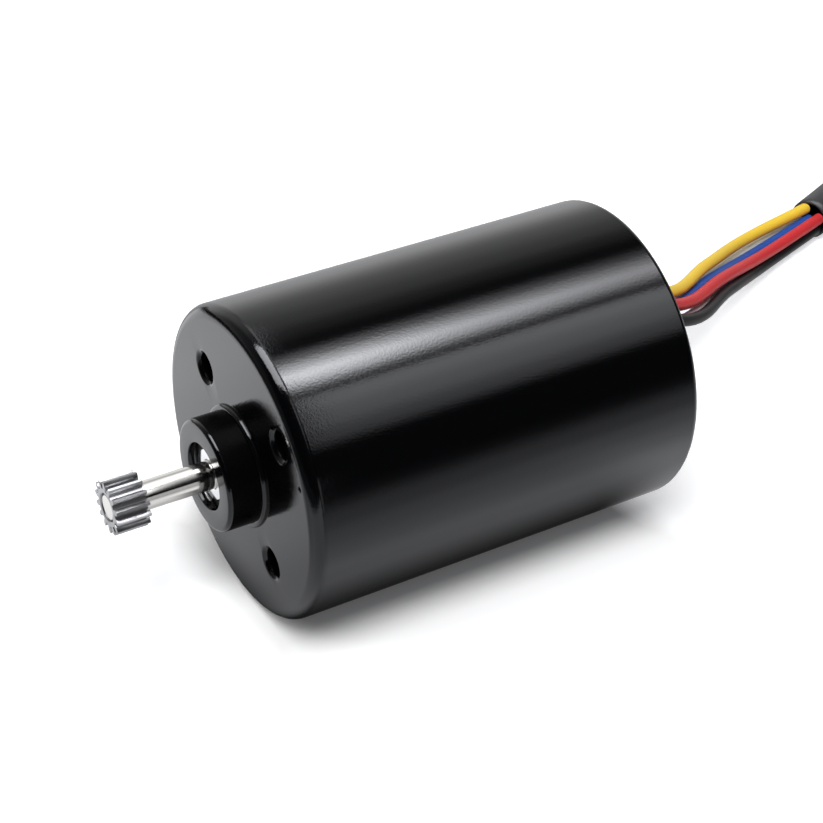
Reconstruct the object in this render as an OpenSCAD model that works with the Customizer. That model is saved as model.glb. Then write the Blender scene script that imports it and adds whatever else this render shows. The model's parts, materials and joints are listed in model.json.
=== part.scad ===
// Brushless dc motor, 28 mm across, with a toothed pinion on its shaft and a six-wire lead.
// The origin is the middle of the mounting face on the shaft's axis. The shaft points along -Y,
// the body runs along +Y and the motor lies on its side on a surface at z = -can_d / 2.

/* [Can] */
// Diameter of the can
can_d = 28; // [27:0.5:32]
// Length of the can from the mounting face to its rear rim
can_l = 38; // [37:0.5:44]
// Wall of the can
can_wall = 1.2; // [1:0.1:1.4]
// Thickness of the front face
face_t = 2; // [1.8:0.1:2.6]
// Radius of the round edge between the front face and the side
face_round = 1.2; // [0.6:0.1:1.6]
// Radius of the rear rim's outer edge
rim_round = 0.6; // [0.3:0.1:0.8]

/* [Front boss] */
// Diameter of the boss that centres the motor
boss_d = 10; // [9.6:0.1:11]
// Height of the boss above the mounting face
boss_h = 3.2; // [2.8:0.1:4]
// Radius of the boss's front edge
boss_round = 0.4; // [0.2:0.1:0.6]
// Diameter of the low collar round the boss
collar_d = 11; // [10.6:0.1:12]
// Height of the collar
collar_h = 0.35; // [0.2:0.05:0.6]
// Diameter of the hole in the boss's lip
lip_d = 6; // [5.6:0.1:6.6]
// Thickness of the lip that holds the front bearing
lip_t = 0.6; // [0.4:0.1:1]

/* [Mounting holes] */
// Core diameter of the tapped holes
tap_d = 2.5; // [2:0.1:2.9]
// Diameter of the holes' chamfered mouths
tap_mouth_d = 3.1; // [3:0.1:3.6]
// Distance between the nearer two holes
near_pitch = 17.5; // [16:0.5:18.5]
// Distance between the farther two holes
far_pitch = 21; // [19:0.5:21.5]
// Angle of the farther two holes from the X axis
hole_turn = 40; // [0:1:90]

/* [Shaft and pinion] */
// Diameter of the shaft
shaft_d = 2.5; // [2.3:0.1:2.7]
// Distance that the shaft reaches past the mounting face
shaft_out = 12; // [10:0.5:16]
// Chamfer of the shaft's ends
shaft_chamfer = 0.2; // [0.1:0.05:0.3]
// Module of the pinion's teeth
gear_module = 0.3; // [0.28:0.01:0.4]
// Number of the pinion's teeth
gear_teeth = 14; // [13:1:18]
// Length of the pinion
gear_l = 3; // [2:0.1:5]
// Pressure angle of the teeth
gear_angle = 20; // [18:0.5:22]

/* [Ball bearings] */
// Outer diameter of the bearings
bearing_d = 8; // [7.8:0.1:8.3]
// Width of the bearings
bearing_w = 4; // [3.6:0.1:4.4]
// Outer diameter of the inner ring
inner_ring_d = 4.6; // [4.5:0.05:4.7]
// Bore of the outer ring
outer_ring_bore = 6.4; // [6.3:0.1:6.5]
// Diameter of the balls
ball_d = 1.5; // [1.4:0.05:1.6]
// Number of balls in a bearing
ball_count = 7; // [5:1:7]

/* [Rotor] */
// Diameter over the magnets, as a share of the can's diameter
magnet_share = 0.5; // [0.46:0.01:0.52]
// Thickness of the magnets
magnet_t = 2; // [1.4:0.1:2.4]
// Distance that the magnets and the rotor core reach past each end of the stack
magnet_over = 0.5; // [0.2:0.1:0.8]
// Number of magnets
magnet_count = 4; // [4:2:8]
// Thickness of the balance rings
balance_t = 1.2; // [0.8:0.1:1.6]

/* [Stator] */
// Distance from the mounting face to the stack
stack_start = 9; // [8.5:0.5:10]
// Gap between the magnets and the teeth
air_gap = 0.5; // [0.4:0.1:0.8]
// Number of stator teeth
tooth_count = 6; // [6:6:6]
// Width of a tooth, as a share of the stack's depth
tooth_share = 0.6; // [0.5:0.01:0.64]
// Thickness of the stack's outer ring, as a share of the stack's depth
yoke_share = 0.34; // [0.3:0.01:0.38]
// Thickness of the tooth tips, as a share of the stack's depth
tip_share = 0.21; // [0.16:0.01:0.24]
// Width of the slot openings between the tooth tips
slot_open = 1.6; // [1.2:0.1:2.4]
// Thickness of the insulators' end plates
insulator_t = 0.8; // [0.6:0.1:1]

/* [Windings] */
// Thickness of a coil beside its tooth, as a share of the stack's depth
coil_share = 0.36; // [0.28:0.01:0.36]
// Thickness of a coil past the end of the stack
coil_end_t = 2.2; // [1.6:0.1:2.3]
// Corner radius of a coil
coil_round = 1.4; // [0.8:0.1:1.6]

/* [Circuit board] */
// Thickness of the circuit board
board_t = 1; // [0.8:0.1:1.2]
// Distance from the stack to the circuit board
board_rise = 4.4; // [4:0.1:4.6]
// Distance from the circuit board to the rear cover
board_room = 4.4; // [4:0.1:5]
// Side of the square controller chip
chip_w = 5; // [4:0.5:5]
// Height of the chips
chip_h = 0.8; // [0.6:0.1:0.8]

/* [Rear cover] */
// Thickness of the rear cover
cover_t = 2; // [1.6:0.1:2.4]
// Distance from the can's rear rim in to the cover
cover_recess = 1.2; // [1.1:0.1:1.5]
// Outer diameter of the bearing seat in the cover
hub_d = 10.4; // [10.2:0.1:10.6]
// Diameter of the cover screws' shanks
screw_d = 1.6; // [1.4:0.1:1.7]
// Diameter of the cover screws' heads
screw_head_d = 3; // [2.6:0.1:3]
// Height of the cover screws' heads
screw_head_h = 1; // [0.8:0.1:1]
// Length of the cover screws' shanks
screw_l = 7; // [5:0.5:8]

/* [Lead] */
// Diameter of a wire over its insulation
wire_d = 1.3; // [1.1:0.05:1.35]
// Diameter of the black sleeve round the wires
sleeve_d = 4.5; // [4.2:0.1:4.8]
// Width of the connector
plug_w = 14; // [13:0.5:15]
// Height of the connector
plug_h = 5; // [4:0.5:5]
// Length of the connector
plug_l = 8; // [7:0.5:10]
// Distance between two contacts of the connector
contact_pitch = 2; // [1.9:0.1:2.1]

/* [Hidden] */

$fn = 72;
// Length that a cut runs past the surface it opens
cut = 0.05;
// Radial gap drawn where two pieces are pressed together
seat_gap = 0.01;
// Gap between pieces that slide or turn past each other
run_gap = 0.05;
// Gap between pieces that stay clear of each other
clear_gap = 0.3;

can_r = can_d / 2;
can_bore_r = can_r - can_wall;

// Front boss and bearing places, measured along the axis from the mounting face to the rear
front_bearing_start = lip_t - boss_h;
front_bearing_mid = front_bearing_start + bearing_w / 2;
front_bearing_end = front_bearing_start + bearing_w;
collar_round = collar_h * 2 / 3;
tap_chamfer = (tap_mouth_d - tap_d) / 2;
// Small index dimple near the edge of the front face
dimple_d = 0.5;
dimple_depth = 0.25;
dimple_r = can_r - face_round - 2 * dimple_d / 3;
dimple_turn = 22;

// Rear cover places
cover_back = can_l - cover_recess;
cover_front = cover_back - cover_t;
cover_r = can_bore_r - run_gap;
cover_chamfer = 0.3;
washer_h = 0.6;
washer_t = 0.15;
seat_wall = cover_t / 2;
seat_end = cover_back - seat_wall;
rear_bearing_end = seat_end - washer_h;
rear_bearing_start = rear_bearing_end - bearing_w;
rear_bearing_mid = rear_bearing_end - bearing_w / 2;
bump_h = cover_recess / 2;
bump_r = hub_d / 2;

// Bearing details
pitch_r = (inner_ring_d + outer_ring_bore) / 4;
race_r = ball_d / 2 + run_gap;
shield_t = 0.2;
shield_inset = 0.15;
shield_seat_r = outer_ring_bore / 2 + 0.2;
shield_bore_r = inner_ring_d / 2 + 2 * run_gap;
ring_chamfer = 0.15;
cage_r = [inner_ring_d / 2 + 4 * run_gap, outer_ring_bore / 2 - 4 * run_gap];
cage_back = 0.2;
cage_front = ball_d / 2 + clear_gap;

// Places of the circuit board and the stack along the axis, counted from the rear cover
hall_h = 1.4;
board_end = cover_front - board_room;
board_start = board_end - board_t;
stack_end = board_start - board_rise;
stack_l = stack_end - stack_start;

// Rotor places
magnet_l = stack_l + 2 * magnet_over;
magnet_r = magnet_share * can_d / 2;
rotor_mid = stack_start + stack_l / 2;
magnet_start = rotor_mid - magnet_l / 2;
magnet_end = rotor_mid + magnet_l / 2;
core_r = magnet_r - magnet_t;
magnet_gap = 0.4;
balance_r = magnet_r - 0.6;
balance_hole_d = 1.4;
balance_hole_depth = balance_t * 2 / 3;
front_balance_start = magnet_start - balance_t;
rear_balance_end = magnet_end + balance_t;
spacer_d = inner_ring_d - clear_gap;
shaft_rear = seat_end - clear_gap;
shaft_inset = 0.1;

// Stator places
stator_r = can_bore_r - seat_gap;
stator_bore_r = magnet_r + air_gap;
stack_depth = can_bore_r - stator_bore_r;
yoke_r = can_bore_r - yoke_share * stack_depth;
tip_r = stator_bore_r + tip_share * stack_depth;
tooth_w = tooth_share * stack_depth;
tooth_step = 360 / tooth_count;
insulator_inset = 0.1;
guard_r = [yoke_r + 2 * insulator_inset, can_bore_r - 3 * insulator_inset];
coil_inner = tooth_w / 2 + clear_gap;
coil_side = coil_inner + coil_share * stack_depth;
coil_r = [tip_r + clear_gap, sqrt(pow(yoke_r - insulator_inset, 2) - pow(coil_side, 2))];
coil_reach = stack_l / 2 + insulator_t;
guard_front_h = coil_end_t;

// Circuit board places
board_r = guard_r[1] - insulator_inset;
board_bore_r = spacer_d / 2 + 6 * clear_gap;
post_r = 1.4;
post_place_r = can_bore_r - post_r - clear_gap - 2 * insulator_inset;
post_turns = [90, 210, 330];
pin_turns = [30, 150, 270];
pin_share = 0.025;
pin_r = pin_share * can_r;
pin_place_r = guard_r[0] + pin_r + insulator_inset;
pin_sink = 2.4;
pin_rise = 0.6;
hall_w = 3;
hall_depth = 1.6;
hall_place_r = magnet_r - hall_depth / 2;
hall_turns = [90, 150, 210];
chip_place_r = (hub_d / 2 + board_r) / 2;
switch_w = chip_w * 0.6;
switch_place_r = (hub_d / 2 + pin_place_r) / 2;
switch_turns = [45, 135, 270];
capacitor_l = 2;
capacitor_w = 1.25;
capacitor_h = 0.9;
capacitor_place_r = switch_place_r;
capacitor_turns = [70, 110, 240, 300];
chip_round = 0.1;

// Lead places
bundle_r = wire_d + run_gap;
grommet_bore_r = 1.04 * bundle_r + wire_d / 2 + run_gap;
grommet_neck_r = grommet_bore_r + 0.55;
grommet_flange_r = grommet_neck_r + 0.6;
grommet_flange_t = 0.7;
exit_share = 0.6875;
exit_r = exit_share * can_bore_r;
wire_r = wire_d / 2;
wire_sides = 8;
sleeve_r = sleeve_d / 2;
sleeve_sides = 10;

// Route of the bundle's middle line, from the circuit board through the grommet to the sleeve
bundle_route = [
  [-exit_r, board_end, 0], [-exit_r, 41, 0], [-9, 48, -2.4], [-10.2, 53.6, -6],
  [-17, 64.5, -9], [-22.5, 74, -11.2], [-26.5, 85.4, -11.75],
];
// Places of the wires across the bundle, as shares of their spacing: yellow, blue, red, black, grey, white
close_share = [[0.91, 0.5], [0, 0], [-0.57, 0.87], [-1.04, -0.05], [-0.47, -0.93], [0.57, -0.87]];
wide_share = [[1.35, 0.4], [0.68, -0.45], [0.03, 0.6], [-1.28, 0.4], [-0.7, -0.52], [0.95, -1.5]];
middle_share = [[1.33, 0.35], [-0.03, 0], [-0.69, 0.85], [-1.3, 0], [-0.65, -0.87], [0.65, -0.81]];
// How far each point of the route takes the close, wide and middle places, as shares
place_share = [[1, 0, 0], [1, 0, 0], [0.5, 0.5, 0], [0, 1, 0], [0, 0.5, 0.5], [0, 0, 1], [0.97, 0, 0]];
// Turn of the places round the route
bundle_lean = 56;

// Route of the sleeve's free stretch
sleeve_route = [
  [-26.5, 85.4, -11.75], [-30.2, 94, -11.75], [-33.2, 100.5, -11.75], [-34, 104.5, -11.75],
  [-34, 107.5, -11.75],
];
// The coil that puts the rest of the sleeve away, wound clockwise and inwards
coil_middle = [-8, 112, -11.75];
coil_lead_r = 26;
coil_pitch = 5;
coil_turns = 1.125;
coil_tuck = 48;
coil_tuck_start = 0.9;
loop_rings = 24;
loop_sides = 6;

// Route of the six wires, round inside the coil, to the connector
tail_bend = [[-6, 131, -11.75], [0, 125, -11.75], [1, 117, -11.5], [1, 111, -11.5]];
// How far each point of the route has gone from the bundle to the row of contacts, as shares
tail_share = [0, 0, 0, 0.15, 0.9, 1];
// How far the wires spread at each point of the route, as shares of their place in the bundle
tail_spread_share = [1, 1.1, 1.2, 1.3, 1.2, 1];
// Place in the connector's row of each wire, by its place in the bundle
tail_row = [0, 1, 3, 5, 4, 2];
plug_place = [1, 111, -11.5];
plug_wall = 0.6;
contact_w = 1.2;
contact_h = 1.5;
contact_l = plug_l - 2;
key_w = 1.2;
key_h = 0.5;

function unit(v) = v / norm(v);
function heading(route, i) = unit(route[min(i + 1, len(route) - 1)] - route[max(i - 1, 0)]);
function side_of(t) = unit(cross(t, [0, 0, 1]));
function around(t, a) = side_of(t) * cos(a) + cross(side_of(t), t) * sin(a);

// Place of one wire across the bundle at a point of its route
function wire_place(k, i) =
  place_share[i] * [close_share[k], wide_share[k], middle_share[k]];

// Centre line of one wire of the bundle
function wire_route(k) = [
  for (i = [0:len(bundle_route) - 1])
    let (t = heading(bundle_route, i), place = bundle_r * wire_place(k, i))
      bundle_route[i] + place[1] * around(t, bundle_lean) + place[0] * around(t, bundle_lean + 90)
];

// Centre line of the coil, with a straight run of one diameter at each end
function coil_radius(t) = coil_lead_r - coil_pitch * t - coil_tuck * pow(max(t - coil_tuck_start, 0), 2);
function coil_point(t) = coil_middle + coil_radius(t) * [cos(180 - 360 * t), sin(180 - 360 * t), 0];
coil_steps = round(coil_turns * loop_rings);
coil_bend = [for (i = [0:coil_steps]) coil_point(coil_turns * i / coil_steps)];
coil_start = coil_bend[0] - sleeve_d * [0, 1, 0];
coil_finish_heading = unit(coil_bend[coil_steps] - coil_bend[coil_steps - 1]);
coil_finish = coil_bend[coil_steps] + sleeve_d * coil_finish_heading;
coil_route = concat([coil_start], coil_bend, [coil_finish]);
// Least gap between the coil and itself, measured on its points at least half a turn apart
coil_gap = min([
  for (i = [0:len(coil_route) - 1])
    for (j = [i + loop_rings / 2:1:len(coil_route) - 1])
      norm(coil_route[i] - coil_route[j]) - sleeve_d
]);
echo(coil_gap = coil_gap);

// Centre line of one of the six wires between the sleeve and the connector
tail_route = concat([coil_finish, coil_finish + 3 * wire_d * coil_finish_heading], tail_bend);
function tail_wire(k) = [
  for (i = [0:len(tail_route) - 1])
    tail_route[i]
      + (1 - tail_share[i]) * tail_spread_share[i] * bundle_r * around(heading(tail_route, i), 60 * k)
      + tail_share[i] * [(tail_row[k] - 2.5) * contact_pitch, 0, 0]
];

// Swept tube of flat triangles along a route
module tube(route, r, sides) {
  rings = [
    for (i = [0:len(route) - 1])
      for (k = [0:sides - 1])
        route[i] + r * around(heading(route, i), 360 * k / sides)
  ];
  last = len(route) - 1;
  walls = [
    for (i = [0:last - 1])
      for (k = [0:sides - 1])
        let (a = i * sides + k, b = i * sides + (k + 1) % sides)
          each [[a, a + sides, b], [b, a + sides, b + sides]]
  ];
  near_end = [for (k = [1:sides - 2]) [0, k, k + 1]];
  far_end = [for (k = [1:sides - 2]) [last * sides, last * sides + k + 1, last * sides + k]];
  polyhedron(rings, concat(walls, near_end, far_end));
}

// Lays the motor's own axis along Y, so that depth from the mounting face becomes +Y
module lay() {
  rotate([-90, 0, 0]) children();
}

// Puts a piece at an angle from the X axis towards +Z, at a radius and a depth
module around_axis(turn, r, depth) {
  rotate([0, 0, -turn]) translate([r, 0, depth]) children();
}

module ring(r_out, r_in, h) {
  difference() {
    cylinder(r = r_out, h = h);
    translate([0, 0, -cut]) cylinder(r = r_in, h = h + 2 * cut);
  }
}

// Half section of the can, turned about the sketch's Y axis
module can_sketch() {
  square([can_r - face_round, face_t]);
  translate([can_r - face_round, face_round]) circle(face_round);
  translate([0, face_round]) square([can_r, can_l - face_round - rim_round]);
  translate([0, face_round]) square([can_r - rim_round, can_l - face_round]);
  translate([can_r - rim_round, can_l - rim_round]) circle(rim_round);
}

// Half section of the boss and the collar round its foot
module boss_sketch() {
  translate([0, boss_round - boss_h]) square([boss_d / 2, boss_h]);
  translate([0, -boss_h]) square([boss_d / 2 - boss_round, boss_h]);
  translate([boss_d / 2 - boss_round, boss_round - boss_h]) circle(boss_round);
  translate([0, -collar_h]) square([collar_d / 2 - collar_round, face_t]);
  translate([0, collar_round - collar_h]) square([collar_d / 2, face_t]);
  translate([collar_d / 2 - collar_round, collar_round - collar_h]) circle(collar_round);
}

module tapped_hole() {
  translate([0, 0, -cut]) cylinder(d = tap_d, h = face_t + 2 * cut, $fn = 48);
  translate([0, 0, -cut]) cylinder(d1 = tap_mouth_d + 2 * cut, d2 = tap_d, h = tap_chamfer + cut, $fn = 48);
}

module housing() {
  color("#26272a") lay() difference() {
    rotate_extrude() {
      can_sketch();
      boss_sketch();
    }
    translate([0, 0, face_t]) cylinder(r = can_bore_r, h = can_l);
    translate([0, 0, -boss_h - cut]) cylinder(d = lip_d, h = boss_h + face_t);
    translate([0, 0, front_bearing_start]) cylinder(d = bearing_d + 2 * seat_gap, h = boss_h + face_t);
    for (turn = [0, 180]) {
      around_axis(hole_turn + turn, far_pitch / 2, 0) tapped_hole();
      around_axis(hole_turn + 90 + turn, near_pitch / 2, 0) tapped_hole();
    }
    around_axis(dimple_turn, dimple_r, -cut) cylinder(d = dimple_d, h = dimple_depth + cut, $fn = 24);
  }
}

module rear_cover() {
  color("#2e2f33") lay() difference() {
    union() {
      translate([0, 0, cover_front]) cylinder(r = cover_r, h = cover_t - cover_chamfer);
      translate([0, 0, cover_back - cover_chamfer])
        cylinder(r1 = cover_r, r2 = cover_r - cover_chamfer, h = cover_chamfer);
      translate([0, 0, rear_bearing_start]) cylinder(d = hub_d, h = cover_front - rear_bearing_start + cut);
      translate([0, 0, cover_back - cut]) cylinder(r = bump_r, h = bump_h + cut);
    }
    translate([0, 0, rear_bearing_start - cut])
      cylinder(d = bearing_d + 2 * seat_gap, h = seat_end - rear_bearing_start + cut);
    around_axis(180, exit_r, cover_front - cut)
      cylinder(r = grommet_neck_r, h = cover_t + 2 * cut, $fn = 48);
    around_axis(180, exit_r, cover_front - grommet_flange_t - clear_gap)
      cylinder(
        r = grommet_neck_r + clear_gap + 2 * run_gap, h = grommet_flange_t + clear_gap - seat_gap, $fn = 48
      );
    around_axis(180, exit_r, cover_back + seat_gap)
      cylinder(r = grommet_flange_r + 2 * run_gap, h = bump_h + cut, $fn = 48);
    for (turn = post_turns)
      around_axis(turn, post_place_r, cover_front - cut)
        cylinder(d = screw_d + clear_gap, h = cover_t + 2 * cut, $fn = 32);
  }
}

module cover_screws() {
  recess_w = screw_head_d / 5;
  color("#c9c9cc") lay() for (turn = post_turns)
    around_axis(turn, post_place_r, cover_back) difference() {
      union() {
        cylinder(d = screw_head_d, h = screw_head_h / 2, $fn = 40);
        translate([0, 0, screw_head_h / 2])
          cylinder(d1 = screw_head_d, d2 = screw_head_d * 2 / 3, h = screw_head_h / 2, $fn = 40);
        translate([0, 0, -screw_l]) cylinder(d = screw_d, h = screw_l + cut, $fn = 32);
      }
      for (a = [0, 90])
        rotate([0, 0, a]) translate([-screw_head_d / 4, -recess_w / 2, screw_head_h / 2])
          cube([screw_head_d / 2, recess_w, screw_head_h]);
    }
}

module lead_grommet() {
  color("#1a1a1c") lay() around_axis(180, exit_r, 0) difference() {
    union() {
      translate([0, 0, cover_front - grommet_flange_t])
        cylinder(r = grommet_neck_r + clear_gap, h = grommet_flange_t, $fn = 48);
      translate([0, 0, cover_front - cut])
        cylinder(r = grommet_neck_r - seat_gap, h = cover_t + 2 * cut, $fn = 48);
      translate([0, 0, cover_back]) cylinder(r = grommet_flange_r, h = grommet_flange_t, $fn = 48);
    }
    translate([0, 0, cover_front - grommet_flange_t - cut])
      cylinder(r = grommet_bore_r, h = cover_t + 2 * grommet_flange_t + 2 * cut, $fn = 48);
  }
}

// Outline of one lamination, or of an insulator that is drawn in from it by inset
module lamination(inset) {
  difference() {
    circle(stator_r - inset);
    circle(stator_bore_r + inset);
    difference() {
      circle(yoke_r + inset);
      circle(tip_r - inset);
      for (i = [0:tooth_count / 2 - 1])
        rotate(tooth_step * i) square([2 * can_r, tooth_w - 2 * inset], center = true);
    }
    for (i = [0:tooth_count - 1])
      rotate(tooth_step * (i + 0.5)) translate([0, -slot_open / 2 - inset])
        square([yoke_r, slot_open + 2 * inset]);
  }
}

module stator_core() {
  color("#8c8f94") lay() translate([0, 0, stack_start]) linear_extrude(stack_l) lamination(0);
}

module tip_walls(h) {
  linear_extrude(h) intersection() {
    lamination(insulator_inset);
    circle(tip_r - insulator_inset);
  }
}

module front_insulator() {
  color("#ece8dc") lay() {
    translate([0, 0, stack_start - insulator_t]) linear_extrude(insulator_t) lamination(insulator_inset);
    translate([0, 0, stack_start - insulator_t - guard_front_h]) tip_walls(guard_front_h + cut);
    translate([0, 0, stack_start - insulator_t - guard_front_h])
      ring(guard_r[1], guard_r[0], guard_front_h + cut);
  }
}

module rear_insulator() {
  color("#ece8dc") lay() difference() {
    union() {
      translate([0, 0, stack_end]) linear_extrude(insulator_t) lamination(insulator_inset);
      translate([0, 0, stack_end + insulator_t - cut]) tip_walls(coil_end_t);
      translate([0, 0, stack_end + insulator_t - cut])
        ring(guard_r[1], guard_r[0], board_rise - insulator_t + cut);
      for (turn = post_turns)
        around_axis(turn, post_place_r, stack_end + insulator_t / 2)
          cylinder(r = post_r, h = cover_front - stack_end - insulator_t / 2, $fn = 40);
    }
    for (turn = post_turns)
      around_axis(turn, post_place_r, cover_back - screw_l - clear_gap)
        cylinder(d = screw_d + 2 * seat_gap, h = screw_l + cover_t, $fn = 32);
    for (turn = pin_turns)
      around_axis(turn, pin_place_r, board_start - pin_sink)
        cylinder(r = pin_r + seat_gap, h = pin_sink + cut, $fn = 24);
  }
}

// Flat shape with round corners made of squares and circles
module round_slab(l, w, r) {
  square([l - 2 * r, w], center = true);
  square([l, w - 2 * r], center = true);
  for (x = [-1, 1])
    for (y = [-1, 1])
      translate([x * (l / 2 - r), y * (w / 2 - r)]) circle(r, $fn = 32);
}

module coil() {
  translate([coil_r[0], 0, rotor_mid]) rotate([0, 90, 0]) linear_extrude(coil_r[1] - coil_r[0])
    difference() {
      round_slab(2 * (coil_reach + coil_end_t), 2 * coil_side, coil_round);
      square([2 * coil_reach, 2 * coil_inner], center = true);
    }
}

module windings() {
  color("#b5652c") lay() for (i = [0:tooth_count - 1]) rotate([0, 0, tooth_step * i]) coil();
}

module winding_pins() {
  color("#d4b45a") lay() for (turn = pin_turns)
    around_axis(turn, pin_place_r, board_start - pin_sink)
      cylinder(r = pin_r, h = pin_sink + board_t + pin_rise, $fn = 24);
}

module circuit_board() {
  color("#1d6b45") lay() difference() {
    translate([0, 0, board_start]) cylinder(r = board_r, h = board_t);
    translate([0, 0, board_start - cut]) cylinder(r = board_bore_r, h = board_t + 2 * cut);
    for (turn = post_turns)
      around_axis(turn, post_place_r, board_start - cut)
        cylinder(r = post_r + clear_gap, h = board_t + 2 * cut, $fn = 40);
    for (turn = pin_turns)
      around_axis(turn, pin_place_r, board_start - cut)
        cylinder(r = pin_r + run_gap, h = board_t + 2 * cut, $fn = 24);
  }
}

module hall_sensors() {
  color("#202124") lay() for (turn = hall_turns)
    around_axis(turn, hall_place_r, board_start - hall_h / 2)
      cube([hall_depth, hall_w, hall_h], center = true);
}

// Chip with its marking corner bevelled
module chip(w) {
  linear_extrude(chip_h) difference() {
    square(w, center = true);
    translate([w / 2, w / 2]) rotate(45) square(3 * chip_round, center = true);
  }
}

module driver_chips() {
  color("#202124") lay() {
    around_axis(0, chip_place_r, board_end) chip(chip_w);
    for (turn = switch_turns) around_axis(turn, switch_place_r, board_end) chip(switch_w);
  }
}

module board_capacitors() {
  color("#b79b6c") lay() for (turn = capacitor_turns)
    around_axis(turn, capacitor_place_r, board_end + capacitor_h / 2)
      cube([capacitor_w, capacitor_l, capacitor_h], center = true);
}

// Thin spring ring with three waves
module wave_washer() {
  steps = 48;
  waves = 3;
  outer = bearing_d / 2 - 2 * run_gap;
  inner = outer_ring_bore / 2 - clear_gap;
  amplitude = (washer_h - washer_t) / 2;
  points = [
    for (i = [0:steps - 1])
      let (a = 360 * i / steps, z = washer_h / 2 + amplitude * cos(waves * a))
        each [
          [inner * cos(a), inner * sin(a), z - washer_t / 2],
          [outer * cos(a), outer * sin(a), z - washer_t / 2],
          [outer * cos(a), outer * sin(a), z + washer_t / 2],
          [inner * cos(a), inner * sin(a), z + washer_t / 2],
        ]
  ];
  faces = [
    for (i = [0:steps - 1])
      for (k = [0:3])
        let (a = 4 * i + k, b = 4 * i + (k + 1) % 4, c = 4 * ((i + 1) % steps))
          each [[a, c + k, b], [b, c + k, c + (k + 1) % 4]]
  ];
  color("#a9adb3") lay() translate([0, 0, rear_bearing_end]) polyhedron(points, faces);
}

// Bearing pieces, centred on the bearing's middle plane
module outer_ring() {
  rotate_extrude() difference() {
    translate([outer_ring_bore / 2, -bearing_w / 2]) square([(bearing_d - outer_ring_bore) / 2, bearing_w]);
    translate([pitch_r, 0]) circle(race_r);
    for (y = [-1, 1])
      translate([shield_seat_r - outer_ring_bore, y * bearing_w / 2 - shield_t - shield_inset])
        square([outer_ring_bore, 2 * (shield_t + shield_inset)]);
    for (y = [-1, 1])
      translate([bearing_d / 2, y * bearing_w / 2]) rotate(45) square(sqrt(2) * ring_chamfer, center = true);
  }
}

module inner_ring() {
  rotate_extrude() difference() {
    translate([shaft_d / 2 + seat_gap, -bearing_w / 2])
      square([inner_ring_d / 2 - shaft_d / 2 - seat_gap, bearing_w]);
    translate([pitch_r, 0]) circle(race_r);
  }
}

module shields() {
  for (y = [shield_inset - bearing_w / 2, bearing_w / 2 - shield_inset - shield_t])
    translate([0, 0, y]) ring(shield_seat_r - seat_gap, shield_bore_r, shield_t);
}

module balls() {
  for (i = [0:ball_count - 1])
    rotate([0, 0, 360 * i / ball_count]) translate([pitch_r, 0, 0]) sphere(d = ball_d, $fn = 32);
}

module cage() {
  difference() {
    translate([0, 0, -cage_back]) ring(cage_r[1], cage_r[0], cage_front + cage_back);
    for (i = [0:ball_count - 1])
      rotate([0, 0, 360 * i / ball_count]) translate([pitch_r, 0, 0]) sphere(r = race_r, $fn = 32);
  }
}

module front_bearing_outer_ring() {
  color("#b9bcc2") lay() translate([0, 0, front_bearing_mid]) outer_ring();
}

module front_bearing_shields() {
  color("#6f7278") lay() translate([0, 0, front_bearing_mid]) shields();
}

module front_bearing_inner_ring() {
  color("#d6d8dc") lay() translate([0, 0, front_bearing_mid]) inner_ring();
}

module front_bearing_balls() {
  color("#e4e6ea") lay() translate([0, 0, front_bearing_mid]) balls();
}

module front_bearing_cage() {
  color("#b8933f") lay() translate([0, 0, front_bearing_mid]) cage();
}

module rear_bearing_outer_ring() {
  color("#b9bcc2") lay() translate([0, 0, rear_bearing_mid]) outer_ring();
}

module rear_bearing_shields() {
  color("#6f7278") lay() translate([0, 0, rear_bearing_mid]) shields();
}

module rear_bearing_inner_ring() {
  color("#d6d8dc") lay() translate([0, 0, rear_bearing_mid]) inner_ring();
}

module rear_bearing_balls() {
  color("#e4e6ea") lay() translate([0, 0, rear_bearing_mid]) balls();
}

module rear_bearing_cage() {
  color("#b8933f") lay() translate([0, 0, rear_bearing_mid]) cage();
}

module shaft() {
  tip = shaft_inset - shaft_out;
  color("#d2d3d6") lay() {
    translate([0, 0, tip])
      cylinder(d1 = shaft_d - 2 * shaft_chamfer, d2 = shaft_d, h = shaft_chamfer);
    translate([0, 0, tip + shaft_chamfer])
      cylinder(d = shaft_d, h = shaft_rear - tip - 2 * shaft_chamfer);
    translate([0, 0, shaft_rear - shaft_chamfer])
      cylinder(d1 = shaft_d, d2 = shaft_d - 2 * shaft_chamfer, h = shaft_chamfer);
  }
}

// Involute gear outline: each flank runs from the base circle to the tip circle
gear_pitch_r = gear_module * gear_teeth / 2;
gear_base_r = gear_pitch_r * cos(gear_angle);
gear_tip_r = gear_pitch_r + gear_module;
gear_root_r = gear_pitch_r - 1.25 * gear_module;
flank_steps = 5;
// Turn of the first tooth from the X axis
gear_turn = 19;
function involute_turn(r) = let (w = sqrt(pow(r / gear_base_r, 2) - 1)) w * 180 / PI - atan(w);
half_tooth = 90 / gear_teeth + involute_turn(gear_pitch_r);
function flank(side) = [
  for (i = [0:flank_steps])
    let (r = gear_base_r + (gear_tip_r - gear_base_r) * i / flank_steps,
         a = side * (half_tooth - involute_turn(r)))
      r * [cos(a), sin(a)]
];
function turned(points, a) = [
  for (p = points) [p[0] * cos(a) - p[1] * sin(a), p[0] * sin(a) + p[1] * cos(a)]
];
function backwards(points) = [for (i = [len(points) - 1:-1:0]) points[i]];
tooth_outline = concat(
  [gear_root_r * [cos(-half_tooth), sin(-half_tooth)]], flank(-1),
  backwards(flank(1)), [gear_root_r * [cos(half_tooth), sin(half_tooth)]]
);
gear_outline = [for (i = [0:gear_teeth - 1]) each turned(tooth_outline, 360 * i / gear_teeth)];

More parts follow.
